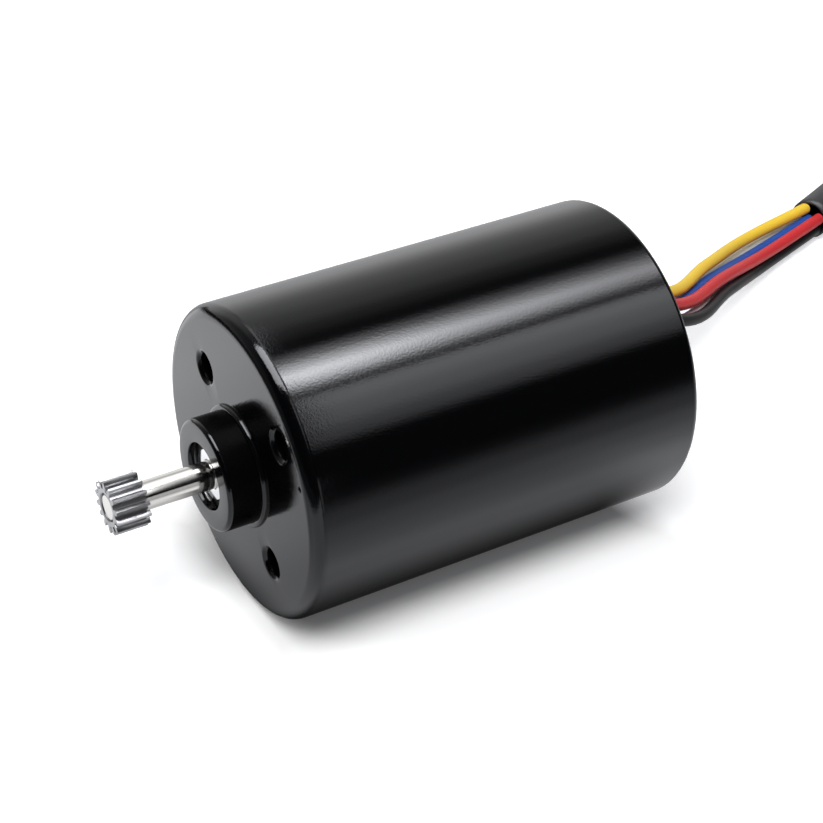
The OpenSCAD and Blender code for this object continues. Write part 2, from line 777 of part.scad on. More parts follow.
module pinion() {
  color("#9a9ca0") lay() translate([0, 0, -shaft_out]) rotate([0, 0, -gear_turn])
    linear_extrude(gear_l) difference() {
      polygon(gear_outline);
      circle(shaft_d / 2 + seat_gap);
    }
}

module front_spacer() {
  color("#c8a24a") lay() translate([0, 0, front_bearing_end])
    ring(spacer_d / 2, shaft_d / 2 + seat_gap, front_balance_start - front_bearing_end);
}

module rear_spacer() {
  color("#c8a24a") lay() translate([0, 0, rear_balance_end])
    ring(spacer_d / 2, shaft_d / 2 + seat_gap, rear_bearing_start - rear_balance_end);
}

module rotor_core() {
  color("#7d8085") lay() translate([0, 0, magnet_start])
    ring(core_r - seat_gap, shaft_d / 2 + seat_gap, magnet_l);
}

module rotor_magnets() {
  color("#55585e") lay() translate([0, 0, magnet_start]) difference() {
    ring(magnet_r, core_r, magnet_l);
    for (i = [0:magnet_count / 2 - 1])
      rotate([0, 0, 360 * (i + 0.5) / magnet_count]) translate([0, 0, magnet_l / 2])
        cube([4 * magnet_r, magnet_gap, 2 * magnet_l], center = true);
  }
}

module balance_ring() {
  difference() {
    ring(balance_r, shaft_d / 2 + seat_gap, balance_t);
    for (turn = [20, 48])
      rotate([0, 0, turn]) translate([(balance_r + core_r) / 2 - balance_hole_d / 2, 0, -cut])
        cylinder(d = balance_hole_d, h = balance_hole_depth + cut, $fn = 32);
  }
}

module front_balance_ring() {
  color("#c2a152") lay() translate([0, 0, front_balance_start]) balance_ring();
}

module rear_balance_ring() {
  color("#c2a152") lay() translate([0, 0, rear_balance_end]) rotate([180, 0, 150]) balance_ring();
}

module wire(k) {
  tube(wire_route(k), wire_r, wire_sides);
}

module yellow_wire() {
  color("#f2c230") wire(0);
}

module blue_wire() {
  color("#1e3c8c") wire(1);
}

module red_wire() {
  color("#c8202a") wire(2);
}

module black_wire() {
  color("#151516") wire(3);
}

module grey_wire() {
  color("#c9bcbc") wire(4);
}

module white_wire() {
  color("#ecebe8") wire(5);
}

module lead_sleeve() {
  color("#18181a") tube(sleeve_route, sleeve_r, sleeve_sides);
}

module lead_coil() {
  color("#18181a") tube(coil_route, sleeve_r, loop_sides);
}

module connector_leads() {
  color("#e8c040") for (k = [0:5]) tube(tail_wire(k), wire_r, wire_sides);
}

module connector_housing() {
  color("#f1efe6") translate(plug_place) rotate([0, 0, 90]) difference() {
    union() {
      translate([-plug_l, -plug_w / 2, -plug_h / 2]) cube([plug_l, plug_w, plug_h]);
      for (y = [-plug_w / 3, plug_w / 3])
        translate([-plug_l * 3 / 4, y - key_w / 2, plug_h / 2 - cut]) cube([plug_l / 2, key_w, key_h + cut]);
    }
    for (k = [0:5])
      translate([-plug_l / 2, (k - 2.5) * contact_pitch, 0])
        cube([plug_l + 2 * cut, contact_w + 2 * run_gap, contact_h + 2 * run_gap], center = true);
    for (k = [0:5])
      translate([-plug_l * 3 / 4, (k - 2.5) * contact_pitch - contact_w / 4, contact_h / 2])
        cube([plug_l / 3, contact_w / 2, plug_h]);
  }
}

module connector_contacts() {
  color("#c9a13c") translate(plug_place) rotate([0, 0, 90]) for (k = [0:5])
    translate([-contact_l - plug_wall, (k - 2.5) * contact_pitch, 0]) difference() {
      translate([0, -contact_w / 2, -contact_h / 2]) cube([contact_l, contact_w, contact_h]);
      translate([-cut, -contact_w / 4, -contact_h / 4]) cube([contact_l / 2, contact_w / 2, contact_h / 2]);
    }
}

housing();
rear_cover();
cover_screws();
lead_grommet();
stator_core();
front_insulator();
rear_insulator();
windings();
winding_pins();
circuit_board();
hall_sensors();
driver_chips();
board_capacitors();
wave_washer();
front_bearing_outer_ring();
front_bearing_shields();
rear_bearing_outer_ring();
rear_bearing_shields();
front_bearing_inner_ring();
rear_bearing_inner_ring();
front_bearing_balls();
front_bearing_cage();
rear_bearing_balls();
rear_bearing_cage();
shaft();
pinion();
front_spacer();
rear_spacer();
rotor_core();
rotor_magnets();
front_balance_ring();
rear_balance_ring();
yellow_wire();
blue_wire();
red_wire();
black_wire();
grey_wire();
white_wire();
lead_sleeve();
lead_coil();
connector_leads();
connector_housing();
connector_contacts();
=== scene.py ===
import json
import math

import bmesh
import bpy
from mathutils import Matrix, Vector

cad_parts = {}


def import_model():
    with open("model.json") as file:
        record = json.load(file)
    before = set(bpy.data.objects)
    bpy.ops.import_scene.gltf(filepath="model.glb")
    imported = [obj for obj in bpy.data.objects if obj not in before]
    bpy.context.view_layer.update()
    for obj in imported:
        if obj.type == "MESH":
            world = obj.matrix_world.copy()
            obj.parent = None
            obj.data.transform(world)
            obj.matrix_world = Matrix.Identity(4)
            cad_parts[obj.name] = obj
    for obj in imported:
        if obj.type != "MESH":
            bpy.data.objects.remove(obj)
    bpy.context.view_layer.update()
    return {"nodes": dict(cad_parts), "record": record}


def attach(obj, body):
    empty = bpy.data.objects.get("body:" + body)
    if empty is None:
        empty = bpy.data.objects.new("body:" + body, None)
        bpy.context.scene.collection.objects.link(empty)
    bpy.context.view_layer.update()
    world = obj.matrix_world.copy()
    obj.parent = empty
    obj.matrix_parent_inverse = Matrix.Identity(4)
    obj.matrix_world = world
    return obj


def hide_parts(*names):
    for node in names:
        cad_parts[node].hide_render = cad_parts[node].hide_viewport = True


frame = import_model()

# Sizes of the part are in millimetres, and Y runs along the shaft to the rear. Meshes are in metres,
# and so is the distance within which their vertices merge.
MM = 0.001
MERGE = 1e-7
FIT_GAP = 0.01
FLOOR_Z = -14.0
scene = bpy.context.scene

# Can and front face
CAN_R = 14.0
CAN_L = 38.0
CAN_BORE_R = 12.8
FACE_T = 2.0
FACE_ROUND = 1.2
RIM_ROUND = 0.6
BOSS_R = 5.0
BOSS_H = 3.2
COLLAR_R = 5.5
COLLAR_H = 0.35
LIP_R = 3.0
LIP_T = 0.6
SEAT_R = 4.01
SEAT_ROUND = 0.2
HOLE_TURN = 40.0
FAR_R = 10.5
NEAR_R = 8.75
# The turn about the axis and the radius of each tapped hole
HOLES = [
    (HOLE_TURN, FAR_R), (HOLE_TURN + 90, NEAR_R), (HOLE_TURN + 180, FAR_R), (HOLE_TURN + 270, NEAR_R),
]

# Shaft, bearings and pinion
SHAFT_R = 1.25
SHAFT_TIP = -11.9
SHAFT_REAR = 35.5
BEARING_L = 4.0
FRONT_BEARING_START = LIP_T - BOSS_H
REAR_BEARING_START = 31.2
GEAR_MODULE = 0.3
GEAR_TEETH = 14
GEAR_START = -12.0
GEAR_L = 3.0
GEAR_TURN = 19.0

# Cover, grommet and screws
COVER_R = 12.75
COVER_FRONT = 34.8
COVER_BACK = 36.8
HUB_R = 5.2
HUB_H = 0.6
EXIT_R = 8.8
EXIT_TURN = 180
GROMMET_BORE_R = 2.104
GROMMET_NECK_R = 2.654
GROMMET_FLANGE_R = 3.254
GROMMET_FLANGE_T = 0.7
SCREW_TURNS = (90, 210, 330)
SCREW_PLACE_R = 10.9
SCREW_L = 7.0

# Lead and plug
WIRES = ["yellow", "blue", "red", "black", "grey", "white"]
WIRE_R = 0.65
SLEEVE_R = 2.25
SLEEVE_WALL = 0.25
PLUG = (14.0, 8.0, 5.0)
PLUG_MIDDLE = (1.0, 107.0, -11.5)
CONTACT_PITCH = 2

# Camera
CAMERA_PLACE = Vector((128.94, -58.30, 98.77)) * MM
CAMERA_RIGHT = Vector((0.5045, 0.8634, 0.0))
CAMERA_FORWARD = Vector((-0.7197, 0.4205, -0.5524))
CAMERA_LENS = 88.8
CAMERA_SENSOR = 36.0
CAMERA_CLIP_START = 0.01


def make_camera():
    """Looks at the front face and the can's side from above, as the photograph does."""
    data = bpy.data.cameras.new("camera")
    data.sensor_width = CAMERA_SENSOR
    data.lens = CAMERA_LENS
    data.clip_start = CAMERA_CLIP_START
    camera = bpy.data.objects.new("camera", data)
    scene.collection.objects.link(camera)
    up = CAMERA_RIGHT.cross(CAMERA_FORWARD)
    turn = Matrix((CAMERA_RIGHT, up, -CAMERA_FORWARD)).transposed().to_4x4()
    camera.matrix_world = Matrix.Translation(CAMERA_PLACE) @ turn
    scene.camera = camera


make_camera()


# Cords
def metres(points):
    """Points in millimetres as vectors in metres."""
    return [Vector(p) * MM for p in points]


# Middle of the bundle of bare wires, from the grommet down to the sleeve's mouth
BUNDLE_ROUTE = metres([
    (-8.8, 30.4, 0), (-8.8, 41, 0), (-9, 48, -2.4), (-10.2, 53.6, -6),
    (-17, 64.5, -9), (-22.5, 74, -11.2), (-26.5, 85.4, -11.75),
])
BUNDLE_R = 1.35
BUNDLE_LEAN = 56
# Each wire's place (across, near) in the bundle where it is close, wide and in between
CLOSE = [(0.91, 0.5), (0, 0), (-0.57, 0.87), (-1.04, -0.05), (-0.47, -0.93), (0.57, -0.87)]
WIDE = [(1.35, 0.4), (0.68, -0.45), (0.03, 0.6), (-1.28, 0.4), (-0.7, -0.52), (0.95, -1.5)]
MIDDLE = [(1.33, 0.35), (-0.03, 0), (-0.69, 0.85), (-1.3, 0), (-0.65, -0.87), (0.65, -0.81)]
# Shares of close, wide and in between at each point of the bundle's route
PLACE_SHARE = [(1, 0, 0), (1, 0, 0), (0.5, 0.5, 0), (0, 1, 0), (0, 0.5, 0.5), (0, 0, 1), (0.97, 0, 0)]

SLEEVE_ROUTE = metres([
    (-26.5, 85.4, -11.75), (-30.2, 94, -11.75), (-33.2, 100.5, -11.75), (-34, 104.5, -11.75),
])
# The coil winds inwards by its pitch in each turn, and its last part is tucked in further
COIL_MIDDLE = Vector((-8, 112, -11.75)) * MM
COIL_LEAD_R = 26
COIL_PITCH = 5
COIL_TURNS = 1.125
COIL_TUCK = 48
COIL_TUCK_START = 0.9
COIL_STEPS = 27

# The plug's wires leave the sleeve as a ring and spread into a row. At each point of their route they
# have a share of the row and a spread of the ring, and each wire has a place in the row and a length.
TAIL_BEND = metres([(-6, 131, -11.75), (0, 125, -11.75), (1, 117, -11.5), (1, 111, -11.5)])
TAIL_START_L = 6 * WIRE_R
TAIL_SHARE = [0, 0, 0, 0.15, 0.9, 1]
TAIL_SPREAD = [1, 1.1, 1.2, 1.3, 1.2, 1]
TAIL_ROW = [0, 1, 3, 5, 4, 2]


def heading(route, i):
    """The way that a route runs at its point i."""
    return (route[min(i + 1, len(route) - 1)] - route[max(i - 1, 0)]).normalized()


def around(onward, degrees):
    """A unit step square to the heading, turned about it from its level side."""
    side = onward.cross(Vector((0, 0, 1))).normalized()
    a = math.radians(degrees)
    return side * math.cos(a) + side.cross(onward) * math.sin(a)


def cord_curve(name, points, radius, sides=6, wall=0):
    """A round tube along a smooth curve through the points, open where it has a wall."""
    data = bpy.data.curves.new(name, "CURVE")
    data.dimensions = "3D"
    data.bevel_depth = 1.0
    data.bevel_resolution = sides
    data.resolution_u = 10
    data.use_fill_caps = wall == 0
    spline = data.splines.new("BEZIER")
    spline.bezier_points.add(len(points) - 1)
    for place, p in zip(spline.bezier_points, points):
        place.co = p
        place.radius = radius * MM
        place.handle_left_type = place.handle_right_type = "AUTO"
    piece = bpy.data.objects.new(name, data)
    scene.collection.objects.link(piece)
    if wall:
        skin = piece.modifiers.new("wall", "SOLIDIFY")
        skin.thickness = wall * MM
        skin.offset = -1
    return piece


def wire_route(k):
    """Wire k from the grommet to the sleeve, at its own place in the bundle."""
    points = []
    for i, middle in enumerate(BUNDLE_ROUTE):
        onward = heading(BUNDLE_ROUTE, i)
        across, near = (
            sum(share * place[k][axis] for share, place in zip(PLACE_SHARE[i], (CLOSE, WIDE, MIDDLE)))
            for axis in (0, 1)
        )
        offset = near * around(onward, BUNDLE_LEAN) + across * around(onward, BUNDLE_LEAN + 90)
        points.append(middle + offset * BUNDLE_R * MM)
    return points


def coil_point(turns):
    """The coil's middle line after so many turns inwards, tucked in at its end."""
    r = COIL_LEAD_R - COIL_PITCH * turns - COIL_TUCK * max(turns - COIL_TUCK_START, 0) ** 2
    a = math.pi * (1 - 2 * turns)
    return COIL_MIDDLE + Vector((math.cos(a), math.sin(a), 0)) * r * MM


COIL_BEND = [coil_point(COIL_TURNS * i / COIL_STEPS) for i in range(COIL_STEPS + 1)]
COIL_HEADING = (COIL_BEND[-1] - COIL_BEND[-2]).normalized()
COIL_FINISH = COIL_BEND[-1] + COIL_HEADING * 2 * SLEEVE_R * MM
COIL_START = COIL_BEND[0] - Vector((0, 2 * SLEEVE_R * MM, 0))
TAIL_ROUTE = [COIL_FINISH, COIL_FINISH + COIL_HEADING * TAIL_START_L * MM] + TAIL_BEND


def contact_place(k):
    """How far contact k of the plug lies from the plug's middle."""
    return (k - (len(WIRES) - 1) / 2) * CONTACT_PITCH


def tail_route(k):
    """Wire k from the sleeve's end to its contact in the plug."""
    points = []
    for i, middle in enumerate(TAIL_ROUTE):
        share = TAIL_SHARE[i]
        side = around(heading(TAIL_ROUTE, i), 360 * k / len(WIRES))
        ring = side * BUNDLE_R * TAIL_SPREAD[i] * (1 - share)
        row = Vector((contact_place(TAIL_ROW[k]), 0, 0)) * share
        points.append(middle + (ring + row) * MM)
    return points


def make_wires():
    """The six wires between the cover and the sleeve."""
    wires = {}
    for k, colour in enumerate(WIRES):
        wire = cord_curve(f"{colour}_wire_cord", wire_route(k), WIRE_R)
        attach(wire, "case")
        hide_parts(f"{colour}_wire")
        wires[colour] = wire
    return wires


def make_sleeve():
    """The sleeve and its coil, which are one tube."""
    route = SLEEVE_ROUTE + [COIL_START] + COIL_BEND + [COIL_FINISH]
    sleeve = cord_curve("lead_sleeve_cord", route, SLEEVE_R, sides=8, wall=SLEEVE_WALL)
    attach(sleeve, "case")
    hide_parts("lead_sleeve", "lead_coil")
    return sleeve


def make_tails():
    """The plug's wires."""
    tails = {}
    for k, colour in enumerate(WIRES):
        tail = cord_curve(f"{colour}_plug_wire", tail_route(k), WIRE_R)
        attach(tail, "case")
        if k == 0:
            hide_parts("connector_leads")
        tails[colour] = tail
    return tails


wires = make_wires()
sleeve = make_sleeve()
tails = make_tails()

# Mesh helpers
SHARP_ANGLE = 30
CUTTER_SEGMENTS = 4
CUT_REACH = 1.0
CUT_SKIM = 0.002


def finished(name, bm, body=None, replaced=(), angle=SHARP_ANGLE):
    """Makes the bmesh a smooth shaded piece, which rides on the body where one is given."""
    bmesh.ops.remove_doubles(bm, verts=bm.verts[:], dist=MERGE)
    bmesh.ops.recalc_face_normals(bm, faces=bm.faces[:])
    mesh = bpy.data.meshes.new(name)
    bm.to_mesh(mesh)
    bm.free()
    piece = bpy.data.objects.new(name, mesh)
    scene.collection.objects.link(piece)
    for face in mesh.polygons:
        face.use_smooth = True
    mesh.set_sharp_from_angle(angle=math.radians(angle))
    if body:
        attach(piece, body)
        if replaced:
            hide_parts(*replaced)
    return piece


def round_outline(bm, corners, segments):
    """A flat face in the XY plane whose corners (x, y, radius) are rounded."""
    made = [(bm.verts.new((x * MM, y * MM, 0)), r) for x, y, r in corners]
    bm.faces.new([v for v, r in made])
    for radius in sorted({r for v, r in made if r > 0}):
        bmesh.ops.bevel(
            bm, geom=[v for v, r in made if r == radius and v.is_valid], offset=radius * MM,
            offset_type="OFFSET", affect="VERTICES", segments=segments, profile=0.5, material=-1,
        )


def turn_outline(bm, steps):
    """Spins the outline about the Y axis into a closed solid."""
    bmesh.ops.delete(bm, geom=bm.faces[:], context="FACES_ONLY")
    bmesh.ops.spin(
        bm, geom=bm.verts[:] + bm.edges[:], cent=(0, 0, 0), axis=(0, 1, 0),
        angle=2 * math.pi, steps=steps, use_merge=True,
    )
    bmesh.ops.remove_doubles(bm, verts=bm.verts[:], dist=MERGE)
    bmesh.ops.dissolve_degenerate(bm, edges=bm.edges[:], dist=MERGE)
    bmesh.ops.recalc_face_normals(bm, faces=bm.faces[:])


def lathe(name, corners, body, replaced, steps=96, segments=6):
    """A turned piece of the outline (radius, place along the axis, rounding)."""
    bm = bmesh.new()
    round_outline(bm, corners, segments)
    turn_outline(bm, steps)
    return finished(name, bm, body, replaced)


def about_axis(turn, radius, depth=0):
    """The place in millimetres at a turn and a radius about the can's axis."""
    a = math.radians(turn)
    return radius * math.cos(a), depth, radius * math.sin(a)


def cutter(corners, turn=0, radius=0, steps=48):
    """A turned solid that cut_away takes out of a piece."""
    bm = bmesh.new()
    round_outline(bm, corners, CUTTER_SEGMENTS)
    turn_outline(bm, steps)
    bmesh.ops.translate(bm, verts=bm.verts[:], vec=Vector(about_axis(turn, radius)) * MM)
    return finished("cutter", bm)


def cut_away(piece, cutters):
    """Cuts the cutters out of the piece and keeps only the result."""
    for solid in cutters:
        step = piece.modifiers.new("cut", "BOOLEAN")
        step.operation = "DIFFERENCE"
        step.solver = "EXACT"
        step.object = solid
    shading = piece.modifiers.new("shading", "WEIGHTED_NORMAL")
    shading.keep_sharp = True
    shading.weight = 100
    bpy.context.view_layer.update()
    done = piece.evaluated_get(bpy.context.evaluated_depsgraph_get())
    mesh = bpy.data.meshes.new_from_object(done)
    piece.modifiers.clear()
    piece.data = mesh
    for solid in cutters:
        bpy.data.objects.remove(solid)
    return piece


def block(bm, middle, size, rounding=0.0):
    """A box of the given size about its middle, with its edges rounded where a radius is given."""
    made = bmesh.ops.create_cube(bm, size=MM)["verts"]
    bmesh.ops.scale(bm, vec=size, verts=made)
    bmesh.ops.translate(bm, vec=Vector(middle) * MM, verts=made)
    if rounding:
        edges = {e for v in made for e in v.link_edges}
        bmesh.ops.bevel(
            bm, geom=list(edges), offset=rounding * MM, offset_type="OFFSET", affect="EDGES",
            segments=3, profile=0.5, material=-1,
        )


def block_cutter(middle, size):
    """A box that cut_away takes out of a piece."""
    bm = bmesh.new()
    block(bm, middle, size)
    return finished("cutter", bm)


# Can
LIP_ROUND = 0.1
LIP_BACK_ROUND = 0.06
BOSS_ROUND = 0.4
BOSS_FOOT_ROUND = 0.03
COLLAR_ROUND = 0.33
COLLAR_FOOT_ROUND = 0.01
RIM_INNER_ROUND = 0.15
BORE_FOOT_ROUND = 0.3
CAN_STEPS = 192
CAN_SEGMENTS = 10

# Tapped holes
HOLE_CLEAR_R = 2.1
HOLE_MOUTH_R = 1.58
HOLE_MOUTH_ROUND = 0.16
HOLE_CORE_R = 1.25
HOLE_CORE_START = 0.34
HOLE_CORE_ROUND = 0.12
HOLE_END = 3.2
GROOVE_R = 1.34
GROOVE_START = 0.7
GROOVE_FLANK = 0.16
GROOVE_FLAT = 0.04
GROOVE_PITCH = 0.5
GROOVE_COUNT = 2

# Dimple
DIMPLE_TURN = 22
DIMPLE_PLACE_R = 12.47
DIMPLE_CLEAR_R = 0.4
DIMPLE_R = 0.25
DIMPLE_ROUND = 0.05
DIMPLE_FOOT_R = 0.22
DIMPLE_FOOT_ROUND = 0.04
DIMPLE_SIDE = 0.2
DIMPLE_DEPTH = 0.25


def mouth_corners(clear_r, mouth_r, rounding):
    """The part of a cutter that stands outside the face. Its flat stays just off the surface."""
    return [
        (0, -CUT_REACH, 0), (clear_r, -CUT_REACH, 0), (clear_r, -CUT_SKIM, 0),
        (mouth_r, -CUT_SKIM, rounding),
    ]


def tapped_hole_corners():
    """The outline of a cutter for a tapped hole, with the thread's grooves near its mouth."""
    corners = mouth_corners(HOLE_CLEAR_R, HOLE_MOUTH_R, HOLE_MOUTH_ROUND)
    corners.append((HOLE_CORE_R, HOLE_CORE_START, HOLE_CORE_ROUND))
    for n in range(GROOVE_COUNT):
        start = GROOVE_START + n * GROOVE_PITCH
        flat_start = start + GROOVE_FLANK
        flat_end = flat_start + GROOVE_FLAT
        corners += [
            (HOLE_CORE_R, start, 0), (GROOVE_R, flat_start, 0), (GROOVE_R, flat_end, 0),
            (HOLE_CORE_R, flat_end + GROOVE_FLANK, 0),
        ]
    return corners + [(HOLE_CORE_R, HOLE_END, 0), (0, HOLE_END, 0)]


def dimple_corners():
    return mouth_corners(DIMPLE_CLEAR_R, DIMPLE_R, DIMPLE_ROUND) + [
        (DIMPLE_FOOT_R, DIMPLE_SIDE, DIMPLE_FOOT_ROUND), (0, DIMPLE_DEPTH, 0),
    ]


def make_can():
    """The can with its face, boss, collar and front bearing seat, in one piece."""
    can = lathe("can", [
        (LIP_R, -BOSS_H, LIP_ROUND), (BOSS_R, -BOSS_H, BOSS_ROUND),
        (BOSS_R, -COLLAR_H, BOSS_FOOT_ROUND), (COLLAR_R, -COLLAR_H, COLLAR_ROUND),
        (COLLAR_R, 0, COLLAR_FOOT_ROUND), (CAN_R, 0, FACE_ROUND),
        (CAN_R, CAN_L, RIM_ROUND), (CAN_BORE_R, CAN_L, RIM_INNER_ROUND),
        (CAN_BORE_R, FACE_T, BORE_FOOT_ROUND), (SEAT_R, FACE_T, SEAT_ROUND),
        (SEAT_R, FRONT_BEARING_START, 0), (LIP_R, FRONT_BEARING_START, LIP_BACK_ROUND),
    ], "case", ["housing"], CAN_STEPS, CAN_SEGMENTS)
    cutters = [cutter(tapped_hole_corners(), turn, radius) for turn, radius in HOLES]
    cutters.append(cutter(dimple_corners(), DIMPLE_TURN, DIMPLE_PLACE_R, steps=24))
    return cut_away(can, cutters)


# Bearings and shaft
RING_R = 2.3
RING_ROUND = 0.12
RING_BORE_ROUND = 0.16
SHAFT_CHAMFER = 0.2
SHAFT_ROUND = 0.05


def make_inner_ring(end, start):
    bore_r = SHAFT_R + FIT_GAP
    finish = start + BEARING_L
    return lathe(f"{end}_inner_ring", [
        (bore_r, start, RING_BORE_ROUND), (RING_R, start, RING_ROUND),
        (RING_R, finish, RING_ROUND), (bore_r, finish, RING_BORE_ROUND),
    ], "rotor", [f"{end}_bearing_inner_ring"])


def make_shaft():
    end_r = SHAFT_R - SHAFT_CHAMFER
    return lathe("motor_shaft", [
        (0, SHAFT_TIP, 0), (end_r, SHAFT_TIP, 0), (SHAFT_R, SHAFT_TIP + SHAFT_CHAMFER, SHAFT_ROUND),
        (SHAFT_R, SHAFT_REAR - SHAFT_CHAMFER, SHAFT_ROUND), (end_r, SHAFT_REAR, 0), (0, SHAFT_REAR, 0),
    ], "rotor", ["shaft"], steps=64)


# Pinion
PRESSURE_ANGLE = 20
ROOT_SHARE = 1.25
FLANK_STEPS = 6
TOOTH_ROUND = 0.05
GEAR_SHARP_ANGLE = 25
GEAR_BORE_CHAMFER = 0.1
GEAR_BORE_ROUND = 0.02


def tooth_points():
    """The pinion's outline in the XZ plane, with involute flanks."""
    pitch_r = GEAR_MODULE * GEAR_TEETH / 2
    base_r = pitch_r * math.cos(math.radians(PRESSURE_ANGLE))
    tip_r = pitch_r + GEAR_MODULE
    root_r = pitch_r - ROOT_SHARE * GEAR_MODULE

    def involute(r):
        w = math.sqrt((r / base_r) ** 2 - 1)
        return w - math.atan(w)

    half = math.pi / 2 / GEAR_TEETH + involute(pitch_r)
    flank = [(root_r, half)]
    for i in range(FLANK_STEPS + 1):
        r = base_r + (tip_r - base_r) * i / FLANK_STEPS
        flank.append((r, half - involute(r)))
    tooth = [(r, -a) for r, a in flank] + [(r, a) for r, a in reversed(flank)]
    for n in range(GEAR_TEETH):
        turn = math.radians(GEAR_TURN) + 2 * math.pi * n / GEAR_TEETH
        for r, a in tooth:
            yield r * math.cos(turn + a), r * math.sin(turn + a)


def pinion_bore():
    """A cutter for the bore, which widens at both ends into a chamfer."""
    bore_r = SHAFT_R + FIT_GAP
    wide_r = bore_r + GEAR_BORE_CHAMFER + CUT_REACH
    finish = GEAR_START + GEAR_L
    return cutter([
        (0, GEAR_START - CUT_REACH, 0), (wide_r, GEAR_START - CUT_REACH, 0),
        (bore_r, GEAR_START + GEAR_BORE_CHAMFER, GEAR_BORE_ROUND),
        (bore_r, finish - GEAR_BORE_CHAMFER, GEAR_BORE_ROUND),
        (wide_r, finish + CUT_REACH, 0), (0, finish + CUT_REACH, 0),
    ])


def make_pinion():
    """The pinion, with every edge of its teeth rounded at both ends."""
    bm = bmesh.new()
    verts = [bm.verts.new((x * MM, GEAR_START * MM, z * MM)) for x, z in tooth_points()]
    face = bm.faces.new(verts)
    rims = list(face.edges)
    grown = bmesh.ops.extrude_face_region(bm, geom=[face], use_keep_orig=True)
    moved = [e for e in grown["geom"] if isinstance(e, bmesh.types.BMVert)]
    bmesh.ops.translate(bm, verts=moved, vec=(0, GEAR_L * MM, 0))
    rims += [e for e in grown["geom"] if isinstance(e, bmesh.types.BMEdge)]
    bmesh.ops.recalc_face_normals(bm, faces=bm.faces[:])
    bmesh.ops.bevel(
        bm, geom=rims, offset=TOOTH_ROUND * MM, offset_type="OFFSET", affect="EDGES", segments=2,
        profile=0.5, material=-1, clamp_overlap=True,
    )
    pinion = finished("steel_pinion", bm, "rotor", ["pinion"], GEAR_SHARP_ANGLE)
    return cut_away(pinion, [pinion_bore()])


# Cover
SEAT_FLOOR_T = 1.0
COVER_ROUND = 0.35
COVER_INNER_ROUND = 0.1
HUB_ROUND = 0.3
HUB_FOOT_ROUND = 0.25
SCREW_HOLE_R = 0.95


def cover_drill(radius):
    """The outline of a straight cutter that goes right through the cover."""
    start = COVER_FRONT - CUT_REACH
    finish = COVER_BACK + CUT_REACH
    return [(0, start, 0), (radius, start, 0), (radius, finish, 0), (0, finish, 0)]


def make_cover():
    seat_floor = COVER_BACK - SEAT_FLOOR_T
    hub_back = COVER_BACK + HUB_H
    cover = lathe("cover", [
        (0, seat_floor, 0), (SEAT_R, seat_floor, COVER_INNER_ROUND),
        (SEAT_R, REAR_BEARING_START, SEAT_ROUND), (HUB_R, REAR_BEARING_START, SEAT_ROUND),
        (HUB_R, COVER_FRONT, COVER_INNER_ROUND), (COVER_R, COVER_FRONT, COVER_INNER_ROUND),
        (COVER_R, COVER_BACK, COVER_ROUND), (HUB_R, COVER_BACK, HUB_FOOT_ROUND),
        (HUB_R, hub_back, HUB_ROUND), (0, hub_back, 0),
    ], "case", ["rear_cover"], steps=144)
    cutters = [cutter(cover_drill(GROMMET_NECK_R), EXIT_TURN, EXIT_R)]
    for turn in SCREW_TURNS:
        cutters.append(cutter(cover_drill(SCREW_HOLE_R), turn, SCREW_PLACE_R, steps=24))
    return cut_away(cover, cutters)


# Grommet
GROMMET_INNER_LIP = 0.3
GROMMET_INNER_ROUND = 0.1
GROMMET_FOOT_ROUND = 0.05
GROMMET_FLANGE_ROUND = 0.3
GROMMET_MOUTH_ROUND = 0.2


def make_grommet():
    inner_end = COVER_FRONT - GROMMET_FLANGE_T
    outer_end = COVER_BACK + GROMMET_FLANGE_T
    lip_r = GROMMET_NECK_R + GROMMET_INNER_LIP
    neck_r = GROMMET_NECK_R - FIT_GAP
    bm = bmesh.new()
    round_outline(bm, [
        (GROMMET_BORE_R, inner_end, GROMMET_INNER_ROUND), (lip_r, inner_end, GROMMET_INNER_ROUND),
        (lip_r, COVER_FRONT, 0), (neck_r, COVER_FRONT, 0), (neck_r, COVER_BACK, 0),
        (GROMMET_FLANGE_R, COVER_BACK, GROMMET_FOOT_ROUND),
        (GROMMET_FLANGE_R, outer_end, GROMMET_FLANGE_ROUND),
        (GROMMET_BORE_R, outer_end, GROMMET_MOUTH_ROUND),
    ], segments=5)
    turn_outline(bm, steps=64)
    bmesh.ops.translate(bm, verts=bm.verts[:], vec=Vector(about_axis(EXIT_TURN, EXIT_R)) * MM)
    return finished("grommet", bm, "case", ["lead_grommet"])


# Cover screws
SCREW_R = 0.8
SCREW_END_R = 0.6
SCREW_END_L = 0.2
SCREW_HEAD_R = 1.5
SCREW_HEAD_TOP_R = 1.1
SCREW_HEAD_H = 1.0
SCREW_HEAD_SIDE = 0.62
SCREW_FOOT_ROUND = 0.08
SCREW_SIDE_ROUND = 0.3
SCREW_TOP_ROUND = 0.35
RECESS_L = 1.6
RECESS_W = 0.36
RECESS_H = 1.0
SCREW_DRIVEN = 1.7


def make_screw():
    """One screw on the Y axis, with its head's seat at the origin and a cross recess."""
    bm = bmesh.new()
    round_outline(bm, [
        (0, -SCREW_L, 0), (SCREW_END_R, -SCREW_L, 0), (SCREW_R, SCREW_END_L - SCREW_L, 0),
        (SCREW_R, 0, 0), (SCREW_HEAD_R, 0, SCREW_FOOT_ROUND),
        (SCREW_HEAD_R, SCREW_HEAD_SIDE, SCREW_SIDE_ROUND),
        (SCREW_HEAD_TOP_R, SCREW_HEAD_H, SCREW_TOP_ROUND), (0, SCREW_HEAD_H, 0),
    ], segments=5)
    turn_outline(bm, steps=48)
    screw = finished("cover_fixings", bm, "case", ["cover_screws"])
    recess = [
        block_cutter((0, SCREW_HEAD_H, 0), size)
        for size in ((RECESS_L, RECESS_H, RECESS_W), (RECESS_W, RECESS_H, RECESS_L))
    ]
    return cut_away(screw, recess)


